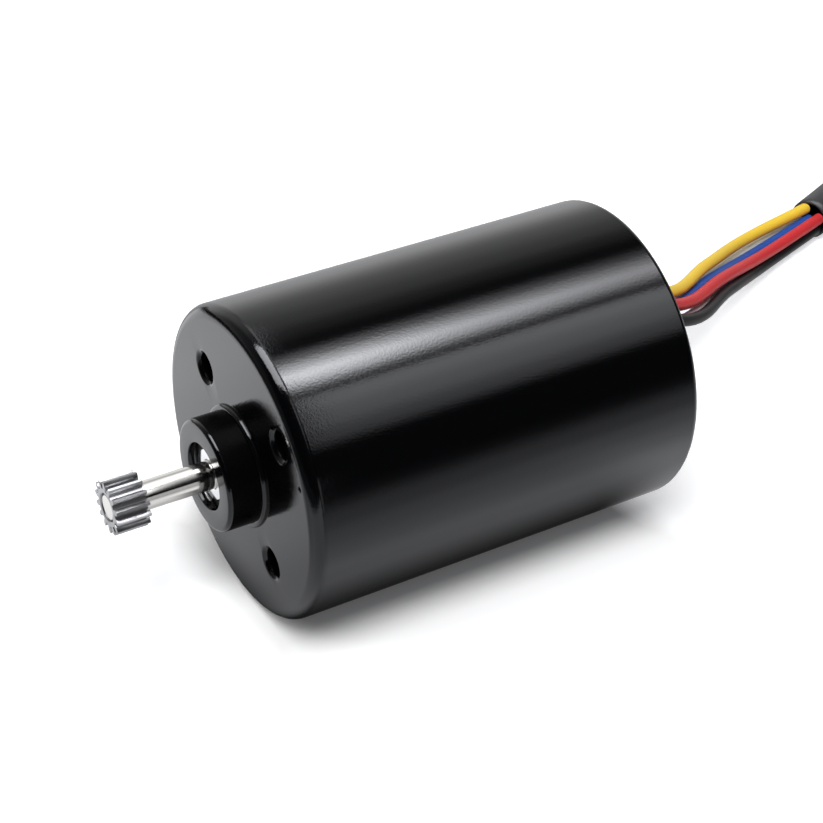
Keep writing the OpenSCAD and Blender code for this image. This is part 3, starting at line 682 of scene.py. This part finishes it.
def make_screws():
    """The three screws as one piece, each driven home at its own turn."""
    screw = make_screw()
    group = bmesh.new()
    for turn in SCREW_TURNS:
        start = len(group.verts)
        group.from_mesh(screw.data)
        group.verts.ensure_lookup_table()
        fresh = group.verts[start:]
        driven = Matrix.Rotation(math.radians(turn) * SCREW_DRIVEN, 3, "Y")
        bmesh.ops.rotate(group, verts=fresh, cent=(0, 0, 0), matrix=driven)
        offset = Vector(about_axis(turn, SCREW_PLACE_R, COVER_BACK)) * MM
        bmesh.ops.translate(group, verts=fresh, vec=offset)
    group.to_mesh(screw.data)
    group.free()
    return screw


# Plug
PLUG_ROUND = 0.3
CONTACT_HOLE = (1.3, PLUG[1] + CUT_REACH, 1.6)
LATCH_SLOT = (0.6, 2.67, 2.4)
LATCH_BACK = 0.67
LATCH_UP = 1.9
KEY = (1.2, 4, 0.6)
KEY_ROUND = 0.15
KEY_UP = PLUG[2] / 2 + 0.2


def make_plug_body():
    """The plug's body with a hole for each contact and a slot for its latch."""
    x, y, z = PLUG_MIDDLE
    bm = bmesh.new()
    block(bm, PLUG_MIDDLE, PLUG, PLUG_ROUND)
    body = finished("plug_body", bm, "case", ["connector_housing"])
    cutters = []
    for k in range(len(WIRES)):
        across = x + contact_place(k)
        cutters.append(block_cutter((across, y, z), CONTACT_HOLE))
        cutters.append(block_cutter((across, y - LATCH_BACK, z + LATCH_UP), LATCH_SLOT))
    return cut_away(body, cutters)


def make_plug_keys():
    """Two keys on the top of the plug."""
    x, y, z = PLUG_MIDDLE
    bm = bmesh.new()
    for side in (-1, 1):
        block(bm, (x + side * PLUG[0] / 3, y, z + KEY_UP), KEY, KEY_ROUND)
    return finished("plug_keys", bm, "case")


def make_plug():
    """The plug's two pieces, which the tails end in."""
    body = make_plug_body()
    keys = make_plug_keys()
    return [body, keys]


cover = make_cover()
grommet = make_grommet()
screws = make_screws()
plug_pieces = make_plug()
can = make_can()
inner_rings = [make_inner_ring("front", FRONT_BEARING_START), make_inner_ring("rear", REAR_BEARING_START)]
shaft = make_shaft()
pinion = make_pinion()


# Node helpers
def feed(tree, place, value):
    """Links an output to a socket, or sets the socket to a plain value."""
    if isinstance(value, bpy.types.NodeSocket):
        tree.links.new(value, place)
    else:
        place.default_value = value


def math_node(tree, operation, *values):
    """The result of one math operation on outputs or plain numbers."""
    made = tree.nodes.new("ShaderNodeMath")
    made.operation = operation
    for place, value in zip(made.inputs, values):
        feed(tree, place, value)
    return made.outputs[0]


def product(tree, *values):
    """Outputs or plain numbers multiplied together."""
    result = values[0]
    for value in values[1:]:
        result = math_node(tree, "MULTIPLY", result, value)
    return result


def mix(tree, factor, a, b):
    """Colour a where the factor is 0, and colour b where it is 1."""
    made = tree.nodes.new("ShaderNodeMix")
    made.data_type = "RGBA"
    feed(tree, made.inputs["Factor"], factor)
    feed(tree, made.inputs["A"], a)
    feed(tree, made.inputs["B"], b)
    return made.outputs["Result"]


def split(tree, kind, output):
    """The X, Y and Z of a place or a direction."""
    place = tree.nodes.new(kind)
    made = tree.nodes.new("ShaderNodeSeparateXYZ")
    tree.links.new(place.outputs[output], made.inputs[0])
    return made.outputs


# Materials
RELIEF_DEPTH = 0.00001
NOISE_DETAIL = 3
NOISE_MIDDLE = 0.5


def make_surface_group():
    """Colour, roughness and normal that vary finely over the surface."""
    group = bpy.data.node_groups.new("fine surface", "ShaderNodeTree")
    for name, kind, value in (
        ("Colour", "NodeSocketColor", (0.5, 0.5, 0.5, 1)),
        ("Colour Change", "NodeSocketFloat", 0.1),
        ("Roughness", "NodeSocketFloat", 0.3),
        ("Roughness Change", "NodeSocketFloat", 0.05),
        ("Stretch", "NodeSocketVector", (1, 1, 1)),
        ("Size", "NodeSocketFloat", 1000.0),
        ("Relief", "NodeSocketFloat", 0.1),
    ):
        group.interface.new_socket(name=name, in_out="INPUT", socket_type=kind).default_value = value
    group.interface.new_socket(name="Colour", in_out="OUTPUT", socket_type="NodeSocketColor")
    group.interface.new_socket(name="Roughness", in_out="OUTPUT", socket_type="NodeSocketFloat")
    group.interface.new_socket(name="Normal", in_out="OUTPUT", socket_type="NodeSocketVector")
    nodes, links = group.nodes, group.links
    given = nodes.new("NodeGroupInput").outputs
    out = nodes.new("NodeGroupOutput")
    place = nodes.new("ShaderNodeTexCoord")
    stretch = nodes.new("ShaderNodeVectorMath")
    stretch.operation = "MULTIPLY"
    links.new(place.outputs["Object"], stretch.inputs[0])
    links.new(given["Stretch"], stretch.inputs[1])
    noise = nodes.new("ShaderNodeTexNoise")
    noise.inputs["Detail"].default_value = NOISE_DETAIL
    links.new(stretch.outputs[0], noise.inputs["Vector"])
    links.new(given["Size"], noise.inputs["Scale"])
    change = math_node(group, "SUBTRACT", noise.outputs["Fac"], NOISE_MIDDLE)
    tint = nodes.new("ShaderNodeVectorMath")
    tint.operation = "SCALE"
    links.new(given["Colour"], tint.inputs[0])
    links.new(math_node(group, "MULTIPLY_ADD", change, given["Colour Change"], 1.0), tint.inputs["Scale"])
    links.new(tint.outputs[0], out.inputs["Colour"])
    rough = math_node(group, "MULTIPLY_ADD", change, given["Roughness Change"], given["Roughness"])
    links.new(rough, out.inputs["Roughness"])
    bump = nodes.new("ShaderNodeBump")
    bump.inputs["Distance"].default_value = RELIEF_DEPTH
    links.new(given["Relief"], bump.inputs["Strength"])
    links.new(noise.outputs["Fac"], bump.inputs["Height"])
    links.new(bump.outputs["Normal"], out.inputs["Normal"])
    return group


SURFACE = make_surface_group()


def material(name, colour, roughness, metallic=0.0, colour_change=0.1, roughness_change=0.06,
             size=1500.0, stretch=(1, 1, 1), relief=0.05, **extra):
    """A finish with the fine surface. The extra values go on the shader's own sockets."""
    made = bpy.data.materials.new(name)
    made.use_nodes = True
    nodes, links = made.node_tree.nodes, made.node_tree.links
    shader = nodes["Principled BSDF"]
    shader.inputs["Metallic"].default_value = metallic
    for key, value in extra.items():
        shader.inputs[key.replace("_", " ")].default_value = value
    fine = nodes.new("ShaderNodeGroup")
    fine.node_tree = SURFACE
    fine.inputs["Colour"].default_value = (*colour, 1)
    fine.inputs["Colour Change"].default_value = colour_change
    fine.inputs["Roughness"].default_value = roughness
    fine.inputs["Roughness Change"].default_value = roughness_change
    fine.inputs["Stretch"].default_value = stretch
    fine.inputs["Size"].default_value = size
    fine.inputs["Relief"].default_value = relief
    links.new(fine.outputs["Colour"], shader.inputs["Base Color"])
    links.new(fine.outputs["Roughness"], shader.inputs["Roughness"])
    links.new(fine.outputs["Normal"], shader.inputs["Normal"])
    return made


def metal(name, colour, roughness, **fine):
    """A finish of bare metal."""
    return material(name, colour, roughness, metallic=1.0, **fine)


# The finish of each material slot, apart from the cords
FINISH = {
    "black_can": material(
        "gloss black paint", (0.0009, 0.001, 0.0013), roughness=0.09, roughness_change=0.1, size=5500,
        relief=0.7, Specular_Tint=(0.965, 0.98, 1.0, 1),
    ),
    "shaft_steel": metal(
        "polished shaft steel", (0.8, 0.78, 0.745), roughness=0.12, size=3000, stretch=(0.3, 1, 0.3),
        relief=0.06,
    ),
    "gear_steel": metal(
        "gear steel", (0.42, 0.42, 0.43), roughness=0.3, size=3000, stretch=(1, 0.05, 1), relief=0.3,
    ),
    "bearing_steel": metal("bearing steel", (0.85, 0.85, 0.86), roughness=0.1, size=2500, relief=0.04),
    "black_cover": material("satin black paint", (0.02, 0.02, 0.022), roughness=0.32, size=2500, relief=0.15),
    "zinc_steel": metal("zinc plated steel", (0.6, 0.61, 0.63), roughness=0.3),
    "black_rubber": material("black rubber", (0.02, 0.02, 0.02), roughness=0.6, relief=0.2),
    "lamination_steel": metal(
        "lamination steel", (0.35, 0.36, 0.38), roughness=0.4, size=2000, stretch=(0.02, 3, 0.02), relief=0.6,
    ),
    "ivory_plastic": material("ivory plastic", (0.8, 0.76, 0.62), roughness=0.5),
    "copper_wire": material(
        "enamelled copper", (0.62, 0.25, 0.09), roughness=0.25, metallic=0.9, size=2500, stretch=(1, 0.1, 1),
        relief=0.5,
    ),
    "brass_parts": metal("brass", (0.72, 0.52, 0.22), roughness=0.3),
    "green_board": material("green board", (0.02, 0.16, 0.07), roughness=0.35),
    "black_epoxy": material("black epoxy", (0.025, 0.025, 0.026), roughness=0.5, relief=0.2),
    "ceramic_chip": material("ceramic chip", (0.42, 0.3, 0.18), roughness=0.5),
    "spring_steel": metal("spring steel", (0.5, 0.5, 0.52), roughness=0.3),
    "shield_steel": metal("bearing shield steel", (0.16, 0.16, 0.16), roughness=0.25),
    "ball_steel": metal("ball steel", (0.85, 0.85, 0.87), roughness=0.08),
    "rotor_steel": metal("rotor steel", (0.4, 0.4, 0.42), roughness=0.4),
    "magnet": metal("plated magnet", (0.35, 0.35, 0.37), roughness=0.35),
    "white_plastic": material("white plug plastic", (0.82, 0.81, 0.77), roughness=0.4),
}
# Low-gloss black for the boss's side, and painted shade on the walls of the tapped holes
LOW_GLOSS_BLACK = material(
    "low gloss black", (0.0012, 0.0012, 0.0013), roughness=0.28, roughness_change=0.1, size=2500, relief=0.3,
    Specular_IOR_Level=0.03,
)
WIRE_COVERS = {
    "yellow": ("yellow_cover", (1.0, 0.68, 0.055)),
    "blue": ("blue_cover", (0.02, 0.09, 0.42)),
    "red": ("red_cover", (0.66, 0.034, 0.04)),
    "black": ("black_cover_wire", (0.008, 0.008, 0.009)),
    "grey": ("grey_cover", (0.9, 0.86, 0.87)),
    "white": ("white_cover", (0.8, 0.79, 0.76)),
}
# Where the boss's side and the walls of the tapped holes begin and end
HOLE_WALL_START = 0.3
HOLE_WALL_END = FACE_T + 1
HOLE_WALL_R = 1.45
BOSS_SIDE_START = 0.35 - BOSS_H
BOSS_SIDE_GAP = 0.05


def paint(piece, made):
    piece.data.materials.clear()
    piece.data.materials.append(made)


def paint_wires():
    for colour, (slot_name, shade) in WIRE_COVERS.items():
        made = material(
            f"{colour} wire cover", shade, roughness=0.42, colour_change=0.06, size=1200, relief=0.12,
            Specular_IOR_Level=0.25,
        )
        for cord in (wires[colour], tails[colour]):
            paint(cord, made)


def paint_sleeve():
    paint(sleeve, material("black sleeve", (0.022, 0.023, 0.025), roughness=0.45, relief=0.2))


def paint_pieces():
    for slot_name, pieces in {
        "black_can": [can],
        "shaft_steel": [shaft],
        "gear_steel": [pinion],
        "bearing_steel": inner_rings,
        "black_cover": [cover],
        "black_rubber": [grommet],
        "zinc_steel": [screws],
        "white_plastic": plug_pieces,
    }.items():
        for piece in pieces:
            paint(piece, FINISH[slot_name])


def from_hole(x, z):
    """How far a place on the face lies from the middle of the nearest tapped hole."""
    middles = (about_axis(turn, radius) for turn, radius in HOLES)
    return min(math.hypot(x - hole_x, z - hole_z) for hole_x, _, hole_z in middles)


def dull_boss_and_hole_walls():
    """The boss's side and the walls of the tapped holes get a low-gloss black. In the holes it is painted
    shade, which keeps their walls dark.
    """
    can.data.materials.append(LOW_GLOSS_BLACK)
    for face in can.data.polygons:
        x, y, z = face.center / MM
        in_hole = HOLE_WALL_START < y < HOLE_WALL_END and from_hole(x, z) < HOLE_WALL_R
        off_boss = abs(math.hypot(x, z) - BOSS_R)
        on_boss = BOSS_SIDE_START < y < -COLLAR_H and off_boss < BOSS_SIDE_GAP
        if in_hole or on_boss:
            face.material_index = 1


def paint_inner_nodes():
    """Finishes the CAD nodes by their material slots, the ones inside the can among them."""
    slots = {row["node"]: row["material_slot"] for row in frame["record"]["subparts"]}
    for name, piece in frame["nodes"].items():
        if slots[name] in FINISH:
            paint(piece, FINISH[slots[name]])


paint_wires()
paint_sleeve()
paint_pieces()
dull_boss_and_hole_walls()
paint_inner_nodes()

# Studio, with its places in metres. A stop is a place and a strength or a share of one.
PANEL_TINT = (0.97, 0.975, 1.0, 1)
FLOOR_TINT = (0.965, 0.975, 1.0, 1)
FLOOR_GREY = (0.8, 0.8, 0.8, 1)
FILL_GREY = (0.1, 0.1, 0.1, 1)
WHITE = (1, 1, 1, 1)
BLACK = (0, 0, 0, 1)
FLOOR_REACH = 3.0

# Places where the floor's light changes: in front of the face, at the face and at the can's rear
FRONT_FADE = [(-0.066, 0.07), (-0.041, 1)]
FACE_EDGE = (-0.003, 0.001)
REAR_EDGE = (0.033, 0.043)
# The floor's painted light in reflections from side to side, ahead of the face, beside the can and behind it.
# It is low beside the can, which paints a shadow of the can there.
AHEAD_STRENGTH = 1.5
AHEAD_GLOW = [
    (-0.25, 0.1), (-0.12, 1), (-0.038, 0.95), (-0.027, 0.83), (-0.014, 0.64), (-0.0085, 0.5),
    (0.001, 0.36), (0.015, 0.57), (0.08, 0.6),
]
BESIDE_STRENGTH = 1.8
BESIDE_GLOW = [
    (-0.3, 0.5), (-0.125, 0.4), (-0.052, 0.3), (-0.03, 0.36), (-0.014, 0.5), (-0.006, 0.012),
    (0.008, 0.012), (0.01, 0.04), (0.0125, 0.13), (0.0145, 0.25), (0.0173, 0.45), (0.021, 0.58),
    (0.027, 0.51), (0.036, 0.43), (0.055, 0.28), (0.12, 0.11), (0.2, 0.03),
]
BEHIND_GLOW = [
    (-0.3, 0.5), (-0.125, 0.4), (-0.052, 0.3), (-0.014, 0.45), (0.0, 0.24), (0.009, 0.33),
    (0.012, 0.52), (0.02, 0.8), (0.027, 0.64), (0.036, 0.48), (0.055, 0.28), (0.12, 0.11),
    (0.2, 0.03),
]
# How much the floor glows to the camera, by the larger of two shares. This painted light makes the floor
# white away from the can and is held low beside and under it, where the lamps' real shadow shows with a
# painted edge.
CAMERA_GLOW_ACROSS = [
    (-0.5, 1), (-0.2, 0.5), (-0.018, 0.48), (-0.01, 0.02), (0.0065, 0.05), (0.0105, 0.28),
    (0.016, 0.48), (0.2, 0.5), (0.5, 1),
]
CAMERA_GLOW_ALONG = [
    (-0.5, 1), (-0.2, 0.5), (-0.003, 0.48), (0.001, 0.0), (0.034, 0.0), (0.0395, 0.48),
    (0.06, 0.6), (0.5, 1),
]
# The world's light in reflections, by the turn about the Y axis in radians and by how far ahead it is
SKY_TURN = [
    (-3.0, 0.9), (-1.9, 1.0), (-1.45, 1.0), (-1.05, 0.66), (-0.73, 0.47), (-0.52, 0.2),
    (-0.35, 0.04), (1.2, 0.02), (2.0, 0.02), (3.0, 0.5),
]
SKY_AHEAD = [(-1.0, 0.1), (-0.5, 0.3), (-0.15, 1.0), (0.0, 1.0)]


def ramp(tree, value, stops, reach=None):
    """A smooth grey ramp over a value, from the first stop to the last where no reach is given."""
    low, high = reach or (stops[0][0], stops[-1][0])
    spread = tree.nodes.new("ShaderNodeMapRange")
    spread.inputs["From Min"].default_value = low
    spread.inputs["From Max"].default_value = high
    tree.links.new(value, spread.inputs["Value"])
    made = tree.nodes.new("ShaderNodeValToRGB")
    tree.links.new(spread.outputs[0], made.inputs["Fac"])
    track = made.color_ramp
    track.interpolation = "EASE"
    while len(track.elements) < len(stops):
        track.elements.new(0.5)
    for element, (place, strength) in zip(track.elements, stops):
        element.position = (place - low) / (high - low)
        element.color = (strength, strength, strength, 1)
    return made.outputs["Color"]


def before(tree, value, edge):
    """1 before the edge and 0 after it."""
    return ramp(tree, value, [(edge[0], 1), (edge[1], 0)])


def after(tree, value, edge):
    """0 before the edge and 1 after it."""
    return ramp(tree, value, [(edge[0], 0), (edge[1], 1)])


def glow_material(name, strength, x_stops, y_stops):
    """Light alone, which fades across and along."""
    made = bpy.data.materials.new(name)
    made.use_nodes = True
    tree = made.node_tree
    tree.nodes.remove(tree.nodes["Principled BSDF"])
    x, y = split(tree, "ShaderNodeNewGeometry", "Position")[:2]
    glow = tree.nodes.new("ShaderNodeEmission")
    glow.inputs["Color"].default_value = PANEL_TINT
    faded = product(tree, ramp(tree, x, x_stops), ramp(tree, y, y_stops), strength)
    tree.links.new(faded, glow.inputs["Strength"])
    tree.links.new(glow.outputs[0], tree.nodes["Material Output"].inputs["Surface"])
    return made


def softbox(name, heights, strength, x_stops, y_stops, slant=(0, 0)):
    """A glowing panel that only reflections see, as large as its stops reach.

    Its two sides stand at the heights, and the slant moves one end of each side inwards."""
    left, right = x_stops[0][0], x_stops[-1][0]
    front, back = y_stops[0][0], y_stops[-1][0]
    corners = [
        (left, front, heights[0]), (left + slant[0], back, heights[0]),
        (right, back, heights[1]), (right - slant[1], front, heights[1]),
    ]
    mesh = bpy.data.meshes.new(name)
    bm = bmesh.new()
    bm.faces.new([bm.verts.new(c) for c in corners])
    bm.to_mesh(mesh)
    bm.free()
    panel = bpy.data.objects.new(name, mesh)
    scene.collection.objects.link(panel)
    panel.visible_camera = False
    panel.visible_diffuse = False
    panel.visible_shadow = False
    mesh.materials.append(glow_material(name, strength, x_stops, y_stops))


def make_panels():
    """Large panels whose reflections show on the can."""
    softbox(
        "top_panel", heights=(0.45, 0.45), strength=17,
        x_stops=[
            (-0.11, 0), (-0.05, 0.12), (0.0, 0.5), (0.05, 1), (0.096, 0.68), (0.137, 0.2), (0.17, 0.03),
        ],
        y_stops=[(0.12, 1), (0.187, 1), (0.25, 0.53), (0.31, 0.34), (0.45, 0)],
    )
    softbox(
        "front_panel", heights=(0.45, 0.45), strength=8, slant=(0.11, 0.12),
        x_stops=[(-0.26, 1), (0.15, 1)],
        y_stops=[(-0.35, 0), (-0.26, 0.8), (0.0, 1), (0.12, 1)],
    )
    softbox(
        "side_panel", heights=(0.455, 0.25), strength=2.6,
        x_stops=[(0.185, 0.8), (0.22, 1.0), (0.3, 0.7), (0.38, 0.35), (0.44, 0.05)],
        y_stops=[(-0.05, 0), (0.1, 1), (0.35, 1), (0.55, 0)],
    )


def make_cards():
    """Small cards whose reflections show on the shaft and the pinion."""
    softbox(
        "upper_card", heights=(0.05, 0.095), strength=1,
        x_stops=[(-0.075, 0.5), (-0.058, 0.55), (-0.045, 1.3), (0.005, 1.4)],
        y_stops=[(0.01, 1), (0.028, 1)],
    )
    softbox(
        "shaft_card", heights=(0.095, 0.03), strength=1,
        x_stops=[
            (0.005, 1.3), (0.02, 0.85), (0.034, 0.5), (0.051, 0.2), (0.064, 0.02), (0.095, 0.0),
        ],
        y_stops=[(0.01, 1), (0.028, 1)],
    )
    softbox(
        "low_card", heights=(0.022, -0.013), strength=0.5,
        x_stops=[(0.09, 1), (0.1, 1)],
        y_stops=[(0.01, 1), (0.03, 1)],
    )


def make_lamp(name, place, size, energy):
    """A round lamp aimed at the origin for the floor and the matt pieces, unseen in reflections."""
    data = bpy.data.lights.new(name, "AREA")
    data.shape = "DISK"
    data.size = size
    data.energy = energy
    lamp = bpy.data.objects.new(name, data)
    scene.collection.objects.link(lamp)
    lamp.location = place
    lamp.rotation_mode = "QUATERNION"
    lamp.rotation_quaternion = (-Vector(place)).to_track_quat("-Z", "Y")
    lamp.visible_camera = False
    lamp.visible_glossy = False


def painted_floor_light(tree, x, y):
    """The floor's painted light in reflections, in three stretches along the shaft, with a painted shadow of
    the can beside it.
    """
    ahead = product(
        tree, ramp(tree, x, AHEAD_GLOW), before(tree, y, FACE_EDGE), ramp(tree, y, FRONT_FADE),
        AHEAD_STRENGTH,
    )
    beside = product(
        tree, ramp(tree, x, BESIDE_GLOW), after(tree, y, FACE_EDGE), before(tree, y, REAR_EDGE),
        BESIDE_STRENGTH,
    )
    behind = product(tree, ramp(tree, x, BEHIND_GLOW), after(tree, y, REAR_EDGE), BESIDE_STRENGTH)
    return math_node(tree, "ADD", math_node(tree, "ADD", ahead, beside), behind)


def floor_finish():
    """A matt floor that glows. To the camera, painted light makes it white away from the can; in reflections
    it shows painted light and a painted shadow of the can.
    """
    made = bpy.data.materials.new("pale floor")
    made.use_nodes = True
    tree = made.node_tree
    shader = tree.nodes["Principled BSDF"]
    shader.inputs["Roughness"].default_value = 1.0
    shader.inputs["Specular IOR Level"].default_value = 0.0
    shader.inputs["Emission Color"].default_value = FLOOR_TINT
    x, y = split(tree, "ShaderNodeNewGeometry", "Position")[:2]
    rays = tree.nodes.new("ShaderNodeLightPath").outputs
    # Painted light for the camera, held low near the can, which gives the can's shadow its edge
    clear = math_node(tree, "MAXIMUM", ramp(tree, x, CAMERA_GLOW_ACROSS), ramp(tree, y, CAMERA_GLOW_ALONG))
    # Painted light and a painted shadow of the can, seen only in reflections
    reflected = product(tree, painted_floor_light(tree, x, y), rays["Is Glossy Ray"])
    seen = product(tree, rays["Is Camera Ray"], clear)
    tree.links.new(mix(tree, rays["Is Glossy Ray"], FLOOR_GREY, BLACK), shader.inputs["Base Color"])
    tree.links.new(math_node(tree, "ADD", reflected, seen), shader.inputs["Emission Strength"])
    return made


def make_floor():
    bm = bmesh.new()
    bmesh.ops.create_grid(bm, x_segments=1, y_segments=1, size=FLOOR_REACH)
    bmesh.ops.translate(bm, verts=bm.verts[:], vec=(0, 0, FLOOR_Z * MM))
    floor = finished("floor", bm)
    paint(floor, floor_finish())


def make_world():
    """White to the camera, a wide soft light in reflections and a low fill otherwise."""
    world = bpy.data.worlds.new("studio")
    scene.world = world
    world.use_nodes = True
    tree = world.node_tree
    rays = tree.nodes.new("ShaderNodeLightPath").outputs
    x, y, z = split(tree, "ShaderNodeTexCoord", "Generated")
    turn = math_node(tree, "ARCTAN2", x, z)
    sky = product(tree, ramp(tree, turn, SKY_TURN, (-math.pi, math.pi)), ramp(tree, y, SKY_AHEAD))
    fill = mix(tree, rays["Is Glossy Ray"], FILL_GREY, sky)
    seen = mix(tree, rays["Is Camera Ray"], fill, WHITE)
    tree.links.new(seen, tree.nodes["Background"].inputs["Color"])


make_panels()
make_cards()
make_lamp("key", place=(0.41, -0.24, 0.88), size=0.5, energy=9)
make_lamp("front_light", place=(-0.25, -0.75, 0.6), size=0.6, energy=4)
make_floor()
make_world()
scene.view_settings.view_transform = "Standard"
